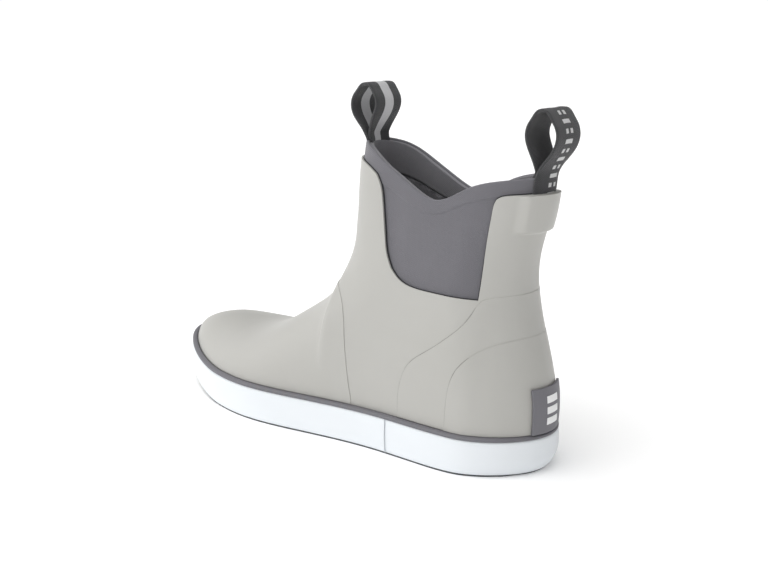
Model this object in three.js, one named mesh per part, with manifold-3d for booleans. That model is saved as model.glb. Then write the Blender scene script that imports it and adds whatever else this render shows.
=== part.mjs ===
// Ankle-high deck boot, right foot. Millimetres: +X to the toe, +Y to the inner side, +Z up.
// The ground is z = 0, and the sole runs from x = -150 at the heel to x = 150 at the toe.
import * as THREE from 'three';
import { mergeVertices } from 'three/addons/utils/BufferGeometryUtils.js';
import Module from 'manifold-3d';

const wasm = await Module();
wasm.setup();

// ---------- driving dimensions ----------
const SOLE_LENGTH = 300;
const TOE_SPRING = 9;            // rise of the sole's underside at the toe
const TOE_SPRING_START = 60;     // x where the sole starts to rise
const HEEL_ROUND = 42;           // length of the outline's rounded heel end
const TOE_ROUND = 74.7;          // length of the outline's rounded toe end
const GAP = 0.3;                 // clearance between touching pieces
const OUTSOLE_RIM_TOP = 2.0;
const OUTSOLE_TOP = 6.0;
const BAND_TOP = 22.3;           // top of the white sidewall
const STRIPE_TOP = 24.6;         // top of the grey stripe, the feather line
const DOME_BASE = 19.8;          // height from which the upper's sides lean in
const BAND_THICKNESS = 4.5;
const UPPER_INSET = 5.2;         // upper's outer face, measured in from the outline
const UPPER_BOTTOM = 12.3;
const BOARD_TOP = 14.0;
const FOOTBED_TOP = 19.0;
const RUBBER = 1.8;              // rubber wall thickness
const FOAM = 3.0;                // neoprene thickness
const LINING = 1.0;
const FACING_DEPTH = 13;         // height of the facing band inside the collar
const WEBBING_WIDTH = 23;
const WEBBING_THICKNESS = 1.9;
const LOOP_LIFT = 3.1;           // from the collar's top edge up to the loop's hinge line
const ROWS = 18;                 // mesh rows up the upper
const COLUMNS = 18;              // mesh columns along each side of the upper

// ---------- curves ----------
// Natural cubic spline through (x, y) pairs, held level beyond both ends.
function smoothCurve(points) {
  const n = points.length - 1;
  const x = points.map((p) => p[0]);
  const y = points.map((p) => p[1]);
  const bend = new Array(n + 1).fill(0);
  const sweep = new Array(n + 1).fill(0);
  for (let i = 1; i < n; i++) {
    const before = x[i] - x[i - 1];
    const after = x[i + 1] - x[i];
    const pull = 6 * ((y[i + 1] - y[i]) / after - (y[i] - y[i - 1]) / before);
    const pivot = 2 * (before + after) - before * sweep[i - 1];
    sweep[i] = after / pivot;
    bend[i] = (pull - before * bend[i - 1]) / pivot;
  }
  for (let i = n - 1; i > 0; i--) bend[i] -= sweep[i] * bend[i + 1];
  return (value) => {
    const v = Math.min(Math.max(value, x[0]), x[n]);
    let i = 0;
    while (i < n - 1 && v > x[i + 1]) i++;
    const h = x[i + 1] - x[i];
    const a = (x[i + 1] - v) / h;
    const b = 1 - a;
    return a * y[i] + b * y[i + 1] + ((a ** 3 - a) * bend[i] + (b ** 3 - b) * bend[i + 1]) * h * h / 6;
  };
}

const clamp = (value, low = 0, high = 1) => Math.min(Math.max(value, low), high);
const mix = (a, b, t) => a + (b - a) * t;
const roundEnd = (distance, length, power = 2) => Math.sqrt(1 - (1 - clamp(distance / length)) ** power);

const soleRise = (x) => TOE_SPRING * clamp((x - TOE_SPRING_START) / (SOLE_LENGTH / 2 - TOE_SPRING_START)) ** 2;

const outlineHalfWidth = smoothCurve([
  [-150, 34.9], [-105, 41.1], [-50, 44], [0, 52], [50, 57.2], [95, 50.5], [150, 37.6],
]);
const outlineCentre = smoothCurve([
  [-150, -0.4], [-105, 2.2], [-50, 1.1], [0, 0.4], [50, 1.4], [95, 0.3], [150, 0.6],
]);

// Inner-side and outer-side y of the sole outline, brought in by an inset.
function outline(x, inset) {
  const end = SOLE_LENGTH / 2 - inset;
  const heel = roundEnd(x + end, HEEL_ROUND - inset * 0.6);
  const toe = roundEnd(end - x, TOE_ROUND - inset * 0.6, 2.1);
  const half = (outlineHalfWidth(x) - inset) * heel * toe;
  return [outlineCentre(x) + half, outlineCentre(x) - half];
}

// ---------- outer surface of the upper ----------
const backProfile = smoothCurve([
  [12, -144.8], [25, -146.4], [45, -146.4], [70, -140.8], [95, -134.2], [120, -133.2], [145, -139.6], [175, -144.2],
]);
// Side-view line over the toe, instep and shin, from the toe's foot up to the collar.
const RIDGE = [
  [144.8, 20.3], [144.6, 30], [141, 37.5], [132, 43.1], [118, 46.9], [92, 47.2], [58, 52.5], [26.5, 70.2],
  [4.2, 87.5], [-5.6, 103], [-8.5, 122], [-10.3, 148], [-11.4, 166], [-13.8, 182],
];
const ridgeLength = [0];
for (let i = 1; i < RIDGE.length; i++) {
  ridgeLength.push(ridgeLength[i - 1] + Math.hypot(RIDGE[i][0] - RIDGE[i - 1][0], RIDGE[i][1] - RIDGE[i - 1][1]));
}
const ridgeShare = ridgeLength.map((length) => length / ridgeLength[RIDGE.length - 1]);
const ridgeX = smoothCurve(RIDGE.map((p, i) => [ridgeShare[i], p[0]]));
const ridgeZ = smoothCurve(RIDGE.map((p, i) => [ridgeShare[i], p[1]]));
const ridgeSamples = [];
for (let i = 0; i <= 400; i++) {
  const last = ridgeSamples[i - 1];
  const x = ridgeX(i / 400);
  const z = ridgeZ(i / 400);
  ridgeSamples.push(last ? [Math.min(x, last[0]), Math.max(z, last[1])] : [x, z]);
}

function lookUp(samples, key, value, sign) {
  let low = 0;
  let high = samples.length - 1;
  if (sign * value <= sign * samples[low][key]) return samples[low][1 - key];
  if (sign * value >= sign * samples[high][key]) return samples[high][1 - key];
  while (high - low > 1) {
    const middle = (low + high) >> 1;
    if (sign * samples[middle][key] <= sign * value) low = middle;
    else high = middle;
  }
  const t = (value - samples[low][key]) / (samples[high][key] - samples[low][key] || 1);
  return mix(samples[low][1 - key], samples[high][1 - key], t);
}
const ridgeHeightAt = (x) => lookUp(ridgeSamples, 0, x, -1);
const shinAt = (z) => lookUp(ridgeSamples, 1, z, 1);

const shaftHalfWidth = smoothCurve([[20, 38], [60, 36], [100, 32], [140, 26], [180, 23.5]]);
const ridgeShift = smoothCurve([[-20, 0], [20, 0], [60, 4], [100, 2], [144, 2]]);

// y of the inner and outer side at a point of the side view.
function sides(x, z) {
  const back = backProfile(z);
  const heelEnd = -SOLE_LENGTH / 2 + UPPER_INSET;
  const shift = (back - heelEnd) * clamp(-x / 120);
  const [inner, outer] = outline(clamp(x - shift, heelEnd, -heelEnd), UPPER_INSET);
  const domeBase = DOME_BASE + soleRise(x);
  const dome = Math.sqrt(1 - clamp((z - domeBase) / Math.max(ridgeHeightAt(x) - domeBase, 1)) ** 2.3);
  const middle = ridgeShift(x);
  const shin = shinAt(z);
  const reach = (shin - back) / 2;
  const backRound = Math.min(mix(44, 34, clamp((z - 40) / 110)), reach);
  const shinRound = Math.min(mix(50, 34, clamp((z - 80) / 70)), reach);
  const shaft = shaftHalfWidth(z) * roundEnd(x - back, backRound) * roundEnd(shin - x, shinRound);
  const rise = clamp((z - 55) / 70);
  const t = rise * rise * (3 - 2 * rise);
  const axis = middle * (1 - t);
  return [axis + mix((inner - middle) * dome, shaft, t), axis - mix((middle - outer) * dome, shaft, t)];
}

// Height of the collar edge along the side view.
const collarEdge = smoothCurve([
  [-143.6, 169.5], [-120, 166.8], [-103, 162], [-82, 153.2], [-62, 160.2], [-42, 171.4], [-29, 178],
  [-13.8, 182],
]);

// Rows v go from the foot of the upper to the collar, columns u from the heel centre to the toe centre.
function sideView(u, v) {
  const backZ = mix(UPPER_BOTTOM, collarEdge(-150), v);
  const backX = backProfile(backZ);
  const t = (1 - Math.cos(Math.PI * u)) / 2;
  const x = mix(backX, ridgeX(v), t);
  const straight = mix(backZ, ridgeZ(v), t);
  const footX = mix(backProfile(UPPER_BOTTOM), ridgeX(0), t);
  const footBend = UPPER_BOTTOM + soleRise(footX) - mix(UPPER_BOTTOM, ridgeZ(0), t);
  const topX = mix(backProfile(collarEdge(-150)), ridgeX(1), t);
  const topBend = collarEdge(topX) - mix(collarEdge(-150), ridgeZ(1), t);
  return [x, straight + footBend * (1 - v) ** 4 + topBend * v ** 3];
}

const around = 2 * COLUMNS;
const surface = [];
for (let row = 0; row <= ROWS; row++) {
  surface.push([]);
  for (let k = 0; k < around; k++) {
    const u = k <= COLUMNS ? k / COLUMNS : (around - k) / COLUMNS;
    const [x, z] = sideView(u, row / ROWS);
    const [inner, outer] = sides(x, z);
    const onRidge = k === 0 || k === COLUMNS;
    surface[row].push(new THREE.Vector3(x, onRidge ? (inner + outer) / 2 : (k < COLUMNS ? inner : outer), z));
  }
}
const normals = surface.map((ring, row) => ring.map((point, k) => {
  const along = ring[(k + 1) % around].clone().sub(ring[(k + around - 1) % around]);
  const below = surface[Math.max(row - 1, 0)][k];
  const above = surface[Math.min(row + 1, ROWS)][k];
  return above.clone().sub(below).cross(along).normalize();
}));

// ---------- solids ----------
function toGeometry(positions, triangles) {
  const geometry = new THREE.BufferGeometry();
  geometry.setAttribute('position', new THREE.Float32BufferAttribute(positions, 3));
  geometry.setIndex(triangles);
  return geometry;
}

function toSolid(geometry) {
  const bare = geometry.clone();
  bare.deleteAttribute('normal');
  bare.deleteAttribute('uv');
  const merged = mergeVertices(bare, 1e-5);
  const kept = [];
  const index = merged.index.array;
  for (let i = 0; i < index.length; i += 3) {
    const [a, b, c] = [index[i], index[i + 1], index[i + 2]];
    if (a !== b && b !== c && a !== c) kept.push(a, b, c);
  }
  return new wasm.Manifold(new wasm.Mesh({
    numProp: 3,
    vertProperties: Float32Array.from(merged.attributes.position.array),
    triVerts: Uint32Array.from(kept),
  }));
}

function fromSolid(solid) {
  const mesh = solid.getMesh();
  return toGeometry(Array.from(mesh.vertProperties), Array.from(mesh.triVerts));
}

// A wall that follows the upper between two offsets from its outer surface, from the foot to the collar.
// The offsets may vary over the wall: each is a function of (u, v).
function wall(outerOffset, innerOffset) {
  const positions = [];
  const triangles = [];
  for (const offset of [outerOffset, innerOffset]) {
    surface.forEach((ring, row) => ring.forEach((point, k) => {
      const u = k <= COLUMNS ? k / COLUMNS : (around - k) / COLUMNS;
      positions.push(...point.clone().addScaledVector(normals[row][k], offset(u, row / ROWS)).toArray());
    }));
  }
  const size = (ROWS + 1) * around;
  const at = (layer, row, k) => layer * size + row * around + (k % around);
  const quad = (a, b, c, d) => triangles.push(a, b, c, a, c, d);
  for (let k = 0; k < around; k++) {
    for (let row = 0; row < ROWS; row++) {
      quad(at(0, row, k), at(0, row + 1, k), at(0, row + 1, k + 1), at(0, row, k + 1));
      quad(at(1, row, k), at(1, row, k + 1), at(1, row + 1, k + 1), at(1, row + 1, k));
    }
    quad(at(0, 0, k), at(0, 0, k + 1), at(1, 0, k + 1), at(1, 0, k));
    quad(at(0, ROWS, k), at(1, ROWS, k), at(1, ROWS, k + 1), at(0, ROWS, k + 1));
  }
  return toSolid(toGeometry(positions, triangles));
}
const level = (value) => () => value;

// A plate in the sole: the outline brought in by an inset, between two heights, following the toe spring.
const STATIONS = 30;
function plate(inset, bottom, top) {
  const positions = [];
  const triangles = [];
  const end = SOLE_LENGTH / 2 - inset;
  for (let i = 0; i <= STATIONS; i++) {
    const x = -end * Math.cos(Math.PI * i / STATIONS);
    const [inner, outer] = outline(x, inset);
    for (const z of [bottom, top]) positions.push(x, inner, z + soleRise(x), x, outer, z + soleRise(x));
  }
  const quad = (a, b, c, d) => triangles.push(a, b, c, a, c, d);
  for (let i = 0; i < STATIONS; i++) {
    const [innerLow, outerLow, innerHigh, outerHigh] = [0, 1, 2, 3].map((n) => 4 * i + n);
    quad(innerLow, innerLow + 4, outerLow + 4, outerLow);
    quad(innerHigh, outerHigh, outerHigh + 4, innerHigh + 4);
    quad(innerLow, innerHigh, innerHigh + 4, innerLow + 4);
    quad(outerLow, outerLow + 4, outerHigh + 4, outerHigh);
  }
  return toSolid(toGeometry(positions, triangles));
}
const ring = (outerInset, innerInset, bottom, top) => (
  plate(outerInset, bottom, top).subtract(plate(innerInset, bottom - 5, top + 5))
);

// A side-view outline run straight across the boot.
function acrossBoot(points, width = 200) {
  const shape = new THREE.Shape(points.map(([x, z]) => new THREE.Vector2(x, z)));
  const geometry = new THREE.ExtrudeGeometry(shape, { depth: width, bevelEnabled: false });
  geometry.translate(0, 0, -width / 2);
  geometry.rotateX(Math.PI / 2);
  return toSolid(geometry);
}

function block(low, high) {
  const geometry = new THREE.BoxGeometry(high[0] - low[0], high[1] - low[1], high[2] - low[2]);
  geometry.translate((low[0] + high[0]) / 2, (low[1] + high[1]) / 2, (low[2] + high[2]) / 2);
  return toSolid(geometry);
}

// ---------- sole unit ----------
function outsole() {
  const first = -132;
  const pitch = 12;
  const last = 132;
  const archStart = -66;
  const archEnd = 6;
  let solid = plate(1.2, 0, OUTSOLE_RIM_TOP).add(plate(BAND_THICKNESS + 0.4, 1, OUTSOLE_TOP));
  for (let x = first; x <= last; x += pitch) {
    const inArch = x > archStart && x < archEnd;
    if (inArch) continue;
    const [inner, outer] = outline(x, 7);
    solid = solid.subtract(block([x - 0.9, outer, -1], [x + 0.9, inner, 1.5 + soleRise(x)]));
  }
  return solid;
}

const SHANK = { low: [-95, -8, 10.1], high: [5, 8, 11.7] };
function midsole() {
  const recess = block(
    [SHANK.low[0] - 0.5, SHANK.low[1] - 0.5, SHANK.low[2] - GAP],
    [SHANK.high[0] + 0.5, SHANK.high[1] + 0.5, 20],
  );
  return plate(BAND_THICKNESS + 0.4, OUTSOLE_TOP + GAP, UPPER_BOTTOM - GAP).subtract(recess);
}

const boardInset = UPPER_INSET + RUBBER + 1.0;
const footbedInset = UPPER_INSET + RUBBER + FOAM + LINING + 2 * GAP + 3.4;

// ---------- upper ----------
const foamOuter = RUBBER + GAP;
const foamInner = foamOuter + FOAM;
const liningOuter = foamInner + GAP;
const liningInner = liningOuter + LINING;

// Side-view edge of the rubber: down the front of the stretch panel, along its foot and up its back.
const PANEL_CUT = [
  [40, 171], [-14, 171], [-22.8, 169.4], [-31.2, 167], [-38, 163.6], [-41.4, 158.5], [-43.9, 149.7],
  [-45.4, 141], [-47.5, 130], [-50.4, 119], [-55, 111], [-62, 105.5], [-70, 102.8], [-82, 101.8],
  [-115, 101], [-116.3, 122], [-118.1, 138], [-120.1, 150.6], [-121.7, 156.6], [-123.6, 158.5], [-127, 159.6],
  [-143, 161], [-180, 161], [-180, 260], [40, 260],
];
const underFeatherLine = plate(-30, -20, STRIPE_TOP + GAP);
const underBoardTop = plate(-30, -20, BOARD_TOP + GAP);
const sidewallRoom = plate(-30, -20, STRIPE_TOP + GAP).subtract(plate(BAND_THICKNESS + 0.4, -30, 60));
const skin = (from, to) => wall(level(to), level(from)).subtract(underFeatherLine);

const VAMP = [
  [-33.5, 10], [-30, 45], [-28, 60], [-25.5, 78], [-18, 90], [2, 100], [60, 120], [200, 120], [200, 10],
];
const ANKLE = [
  [-69, 10], [-68, 34], [-70, 48], [-74, 57], [-81, 64], [-91, 71], [-101, 79], [-109, 87], [-113.5, 95],
  [-115, 100.5], [-122, 103], [-180, 104], [-180, 10],
];
const HEEL_COUNTER = [
  [-101, 10], [-103, 44], [-104.5, 53], [-108.5, 61], [-115, 67], [-122, 70.5], [-130, 72.8], [-180, 74], [-180, 10],
];

// Stiffeners sit in shallow steps of the foam: the toe's on its outer face, the heel's on its inner face.
const TOE_PUFF = { fromU: 0.72, toV: 0.36, thickness: 0.9 };
const HEEL_STIFFENER = { toU: 0.34, toV: 0.3, thickness: 1.1 };
const fade = (value, edge) => clamp((edge - value) / 0.08 + 0.5);
const atToe = (u, v) => fade(-u, -TOE_PUFF.fromU) * fade(v, TOE_PUFF.toV);
const atHeel = (u, v) => fade(u, HEEL_STIFFENER.toU) * fade(v, HEEL_STIFFENER.toV);

const shellWall = wall(level(0), level(-RUBBER));
const foamWall = wall(
  (u, v) => -foamOuter - (TOE_PUFF.thickness + GAP) * atToe(u, v),
  (u, v) => -foamInner + (HEEL_STIFFENER.thickness + GAP) * atHeel(u, v),
);
const puffWall = wall(level(-foamOuter), (u, v) => -foamOuter - TOE_PUFF.thickness * atToe(u, v) + 0.02);
const stiffenerWall = wall(
  (u, v) => -foamInner + HEEL_STIFFENER.thickness * atHeel(u, v) - 0.02,
  level(-foamInner),
);

// ---------- pull loops ----------
const FRONT_HINGE = [-16.2, collarEdge(0) + LOOP_LIFT];
const REAR_HINGE = [-142, collarEdge(-150) + LOOP_LIFT];
const FRONT_HEIGHT = 29;
const REAR_HEIGHT = 32.8;
const FRONT_LEAN = -0.1;            // the front loop leans back, as a share of height
// Half of the webbing's centre line in a loop: distance from the middle, and share of the height.
const LOOP_HALF = [
  [1.4, 0], [2.3, 0.075], [5.2, 0.24], [8.3, 0.42], [9.6, 0.58], [8.7, 0.73], [5.6, 0.88], [2.9, 0.98], [1.6, 0.998],
  [0, 1],
];

function pullLoop([hingeX, hingeZ], height, lean) {
  const left = LOOP_HALF.slice(0, -1).reverse().map(([x, share]) => [-x, share]);
  const line = [...LOOP_HALF, ...left].map(([x, share]) => new THREE.Vector2(x + lean * height * share, height * share));
  const curve = new THREE.SplineCurve(line);
  const count = 30;
  const outer = [];
  const inner = [];
  for (let i = 0; i <= count; i++) {
    const point = curve.getPoint(i / count);
    const along = curve.getTangent(i / count);
    const side = new THREE.Vector2(along.y, -along.x).multiplyScalar(WEBBING_THICKNESS / 2);
    outer.push(point.clone().add(side));
    inner.push(point.clone().sub(side));
  }
  const shape = new THREE.Shape([...outer, ...inner.reverse()]);
  const geometry = new THREE.ExtrudeGeometry(shape, { depth: WEBBING_WIDTH, bevelEnabled: false });
  geometry.translate(0, 0, -WEBBING_WIDTH / 2);
  geometry.rotateX(Math.PI / 2);
  geometry.translate(hingeX, 0, hingeZ);
  return toSolid(geometry);
}

const half = WEBBING_WIDTH / 2;
const TAIL_DEPTH = 1.7;
const outerTailWall = wall(level(-foamOuter + GAP + TAIL_DEPTH), level(-foamOuter + GAP));
const innerTailWall = wall(level(-liningInner - GAP), level(-liningInner - GAP - TAIL_DEPTH));
const frontOf = (from, to) => block([-60, -half, from], [60, half, to]);
const behind = (from, to) => block([-180, -half, from], [-100, half, to]);
const FRONT_TAIL = { outer: 171.4, inner: 164 };
const REAR_TAIL = { outer: 161.4, inner: 154 };
const TOP = 220;

// Where the facing meets the lining, inside the collar.
const FACING_CUT = [
  ...[-180, -120, -103, -81, -62, -42, 40].map((x) => [x, collarEdge(x) - FACING_DEPTH]),
  [40, 260], [-180, 260],
];
const liningWall = wall(level(-liningOuter), level(-liningInner));
const raised = (points, by) => points.map(([x, z]) => [x, z > 250 ? z : z + by]);

// ---------- named meshes ----------
const COLOURS = {
  paleRubber: [0xc6c5c0, 0.55], darkRubber: [0x3a3f42, 0.7], whiteRubber: [0xf2f4f5, 0.5], stripe: [0x727274, 0.6],
  foam: [0x737278, 0.85], facing: [0x58575a, 0.9], lining: [0x47464a, 0.95], webbing: [0x454545, 0.8],
  label: [0x68686c, 0.6], softFoam: [0xd8d4c8, 0.9], board: [0xcfc6b0, 0.9], steel: [0x9a9da0, 0.35],
};
const boot = new THREE.Group();
function add(name, solid, colour) {
  const [hex, roughness] = COLOURS[colour];
  const material = new THREE.MeshStandardMaterial({ color: hex, roughness, metalness: colour === 'steel' ? 1 : 0 });
  const mesh = new THREE.Mesh(fromSolid(solid), material);
  mesh.name = name;
  boot.add(mesh);
}

add('outsole', outsole(), 'darkRubber');
add('midsole', midsole(), 'softFoam');
add('sidewall_band', ring(0, BAND_THICKNESS, OUTSOLE_RIM_TOP + GAP, BAND_TOP), 'whiteRubber');
add('sidewall_stripe', ring(0.3, BAND_THICKNESS, BAND_TOP + GAP, STRIPE_TOP), 'stripe');
add('shank', block(SHANK.low, SHANK.high), 'steel');
add('insole_board', plate(boardInset, UPPER_BOTTOM, BOARD_TOP), 'board');
add('footbed', plate(footbedInset, BOARD_TOP + GAP, FOOTBED_TOP), 'softFoam');
add('footbed_cover', plate(footbedInset, FOOTBED_TOP + GAP, FOOTBED_TOP + 1.3), 'lining');
add('rubber_shell', shellWall.subtract(acrossBoot(PANEL_CUT)).subtract(sidewallRoom), 'paleRubber');
add('vamp_overlay', skin(0.35, 1.1).intersect(acrossBoot(VAMP)), 'paleRubber');
add('ankle_overlay', skin(0.25, 1.05).intersect(acrossBoot(ANKLE)), 'paleRubber');
add('heel_counter_overlay', skin(1.3, 2.1).intersect(acrossBoot(HEEL_COUNTER)), 'paleRubber');
add('heel_label', skin(2.35, 3.1).intersect(block([-180, -11.5, 25.8], [-100, 11.5, 51])), 'label');
add('rear_loop_patch', skin(0.25, 2.2).intersect(block([-180, -15, 139], [-100, 15, 160.4])), 'paleRubber');
add('toe_puff', puffWall.subtract(underBoardTop).intersect(toeRegion()), 'board');
add('heel_stiffener', stiffenerWall.subtract(underBoardTop).intersect(heelRegion()), 'board');
add('neoprene_upper', foamWall.subtract(underBoardTop), 'foam');
add('lining', liningWall.subtract(underBoardTop).subtract(acrossBoot(raised(FACING_CUT, -GAP))), 'lining');
add('collar_facing', liningWall.intersect(acrossBoot(FACING_CUT)), 'facing');
add('front_loop', pullLoop(FRONT_HINGE, FRONT_HEIGHT, FRONT_LEAN), 'webbing');
add('front_loop_outer_tail', outerTailWall.intersect(frontOf(FRONT_TAIL.outer, TOP)), 'webbing');
add('front_loop_inner_tail', innerTailWall.intersect(frontOf(FRONT_TAIL.inner, TOP)), 'webbing');
add('rear_loop', pullLoop(REAR_HINGE, REAR_HEIGHT, 0), 'webbing');
add('rear_loop_outer_tail', outerTailWall.intersect(behind(REAR_TAIL.outer, TOP)), 'webbing');
add('rear_loop_inner_tail', innerTailWall.intersect(behind(REAR_TAIL.inner, TOP)), 'webbing');

// Boxes that hold the stretch of wall where a stiffener is at its full thickness.
function toeRegion() {
  return acrossBoot([[84, 0], [84, 120], [200, 120], [200, 0]]);
}
function heelRegion() {
  return acrossBoot([[-112, 0], [-112, 46], [-180, 46], [-180, 0]]);
}

export default boot;
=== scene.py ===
"""Deck boot: the looks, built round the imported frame.

The rubber, neoprene and lining layers are grids on one surface, the outer face of the upper, which is worked
out here by the same curves that the CAD part uses. Lengths in this file are millimetres until a mesh is
made."""

import math

import bpy
import numpy as np
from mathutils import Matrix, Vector


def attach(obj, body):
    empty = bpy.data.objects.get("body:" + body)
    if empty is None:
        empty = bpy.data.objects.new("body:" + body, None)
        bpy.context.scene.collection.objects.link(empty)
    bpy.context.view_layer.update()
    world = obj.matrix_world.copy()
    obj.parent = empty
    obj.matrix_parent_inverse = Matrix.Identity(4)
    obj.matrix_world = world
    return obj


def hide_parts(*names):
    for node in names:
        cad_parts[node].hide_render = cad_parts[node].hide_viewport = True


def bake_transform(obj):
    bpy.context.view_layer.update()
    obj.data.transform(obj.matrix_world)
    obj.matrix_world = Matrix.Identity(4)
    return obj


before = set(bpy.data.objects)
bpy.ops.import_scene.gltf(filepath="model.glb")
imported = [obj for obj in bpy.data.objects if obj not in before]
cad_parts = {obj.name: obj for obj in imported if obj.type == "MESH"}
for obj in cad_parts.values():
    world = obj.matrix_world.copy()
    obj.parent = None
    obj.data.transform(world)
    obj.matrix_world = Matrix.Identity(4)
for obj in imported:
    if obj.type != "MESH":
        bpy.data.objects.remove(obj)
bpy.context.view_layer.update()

MM = 0.001

# ---------- driving dimensions, as in the CAD part ----------
SOLE_LENGTH = 300.0
TOE_SPRING = 9.0
TOE_SPRING_START = 60.0
HEEL_ROUND = 42.0
TOE_ROUND = 74.7
BAND_TOP = 22.3
STRIPE_TOP = 24.6
DOME_BASE = 19.8
UPPER_INSET = 5.2
UPPER_BOTTOM = 12.3
COLLAR_BACK = 169.5
RUBBER = 1.8
WEBBING_WIDTH = 23.0
WEBBING_THICKNESS = 1.9
FRONT_HINGE = (-16.2, 185.1)
REAR_HINGE = (-142.0, 172.6)
FRONT_HEIGHT = 29.0
REAR_HEIGHT = 32.8
FRONT_LEAN = -0.1

# offsets of the layers from the outer face of the upper
FOAM_OUTER = -2.1
FOAM_INNER = -5.1
RIM_INNER = -3.8
LINING_OUTER = -5.3
LINING_INNER = -6.1
FACING_INNER = -6.5


# ---------- curves ----------
def smooth_curve(points):
    """Natural cubic spline through (x, y) pairs, held level beyond both ends."""
    x, y = np.array(points, float).T
    n = len(x)
    step = np.diff(x)
    matrix, pull = np.eye(n), np.zeros(n)
    for i in range(1, n - 1):
        matrix[i, i - 1:i + 2] = step[i - 1], 2 * (step[i - 1] + step[i]), step[i]
        pull[i] = 6 * ((y[i + 1] - y[i]) / step[i] - (y[i] - y[i - 1]) / step[i - 1])
    bend = np.linalg.solve(matrix, pull)

    def value(at):
        at = np.clip(np.asarray(at, float), x[0], x[-1])
        i = np.clip(np.searchsorted(x, at, side="right") - 1, 0, n - 2)
        h = step[i]
        a = (x[i + 1] - at) / h
        b = 1 - a
        cubic = (a ** 3 - a) * bend[i] + (b ** 3 - b) * bend[i + 1]
        return a * y[i] + b * y[i + 1] + cubic * h * h / 6

    return value


def strand(points, count):
    """count points spaced evenly by share along a smooth line through points of any dimension."""
    points = np.array(points, float)
    reach = np.concatenate([[0], np.cumsum(np.linalg.norm(np.diff(points, axis=0), axis=1))])
    share = reach / reach[-1]
    at = np.linspace(0, 1, count)
    columns = [smooth_curve(np.column_stack([share, points[:, k]]))(at) for k in range(points.shape[1])]
    return np.column_stack(columns)


def mix(a, b, t):
    return a + (b - a) * t


def ease(t):
    t = np.clip(t, 0, 1)
    return t * t * (3 - 2 * t)


def round_end(distance, length, power=2.0):
    return np.sqrt(1 - (1 - np.clip(distance / length, 0, 1)) ** power)


def sole_rise(x):
    return TOE_SPRING * np.clip((x - TOE_SPRING_START) / (SOLE_LENGTH / 2 - TOE_SPRING_START), 0, 1) ** 2


outline_half_width = smooth_curve([
    (-150, 34.9), (-105, 41.1), (-50, 44), (0, 52), (50, 57.2), (95, 50.5), (150, 37.6)])
outline_centre = smooth_curve([
    (-150, -0.4), (-105, 2.2), (-50, 1.1), (0, 0.4), (50, 1.4), (95, 0.3), (150, 0.6)])


def outline(x, inset):
    """Inner-side and outer-side y of the sole outline, brought in by an inset."""
    end = SOLE_LENGTH / 2 - inset
    heel = round_end(x + end, HEEL_ROUND - inset * 0.6)
    toe = round_end(end - x, TOE_ROUND - inset * 0.6, 2.1)
    half = (outline_half_width(x) - inset) * heel * toe
    return outline_centre(x) + half, outline_centre(x) - half


# ---------- outer surface of the upper ----------
back_profile = smooth_curve([
    (12, -144.8), (25, -146.4), (45, -146.4), (70, -140.8), (95, -134.2), (120, -133.2), (145, -139.6),
    (175, -144.2)])
RIDGE = np.array([
    (144.8, 20.3), (144.6, 30), (141, 37.5), (132, 43.1), (118, 46.9), (92, 47.2), (58, 52.5), (26.5, 70.2),
    (4.2, 87.5), (-5.6, 103), (-8.5, 122), (-10.3, 148), (-11.4, 166), (-13.8, 182)])
ridge_share = np.concatenate([[0], np.cumsum(np.hypot(*np.diff(RIDGE, axis=0).T))])
ridge_share /= ridge_share[-1]
ridge_x = smooth_curve(np.column_stack([ridge_share, RIDGE[:, 0]]))
ridge_z = smooth_curve(np.column_stack([ridge_share, RIDGE[:, 1]]))
RIDGE_STEPS = np.linspace(0, 1, 4001)
RIDGE_XS = np.minimum.accumulate(ridge_x(RIDGE_STEPS))
RIDGE_ZS = np.maximum.accumulate(ridge_z(RIDGE_STEPS))
shaft_half_width = smooth_curve([(20, 38), (60, 36), (100, 32), (140, 26), (180, 23.5)])
ridge_shift = smooth_curve([(-20, 0), (20, 0), (60, 4), (100, 2), (144, 2)])
collar_edge = smooth_curve([
    (-143.6, 169.5), (-120, 166.8), (-103, 162), (-82, 153.2), (-62, 160.2), (-42, 171.4), (-29, 178),
    (-13.8, 182)])
collar_slip = collar_edge(back_profile(COLLAR_BACK)) - COLLAR_BACK


def ridge_height_at(x):
    return np.interp(-x, -RIDGE_XS, RIDGE_ZS)


def shin_at(z):
    return np.interp(z, RIDGE_ZS, RIDGE_XS)


def sides(x, z):
    """y of the inner and outer side at a point of the side view."""
    back = back_profile(z)
    heel_end = -SOLE_LENGTH / 2 + UPPER_INSET
    shift = (back - heel_end) * np.clip(-x / 120, 0, 1)
    inner, outer = outline(np.clip(x - shift, heel_end, -heel_end), UPPER_INSET)
    dome_base = DOME_BASE + sole_rise(x)
    height = np.maximum(ridge_height_at(x) - dome_base, 1)
    dome = np.sqrt(1 - np.clip((z - dome_base) / height, 0, 1) ** 2.3)
    middle = ridge_shift(x)
    shin = shin_at(z)
    reach = (shin - back) / 2
    back_round = np.minimum(mix(44, 34, np.clip((z - 40) / 110, 0, 1)), reach)
    shin_round = np.minimum(mix(50, 34, np.clip((z - 80) / 70, 0, 1)), reach)
    shaft = shaft_half_width(z) * round_end(x - back, back_round) * round_end(shin - x, shin_round)
    t = ease((z - 55) / 70)
    axis = middle * (1 - t)
    return axis + mix((inner - middle) * dome, shaft, t), axis - mix((middle - outer) * dome, shaft, t)


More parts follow.
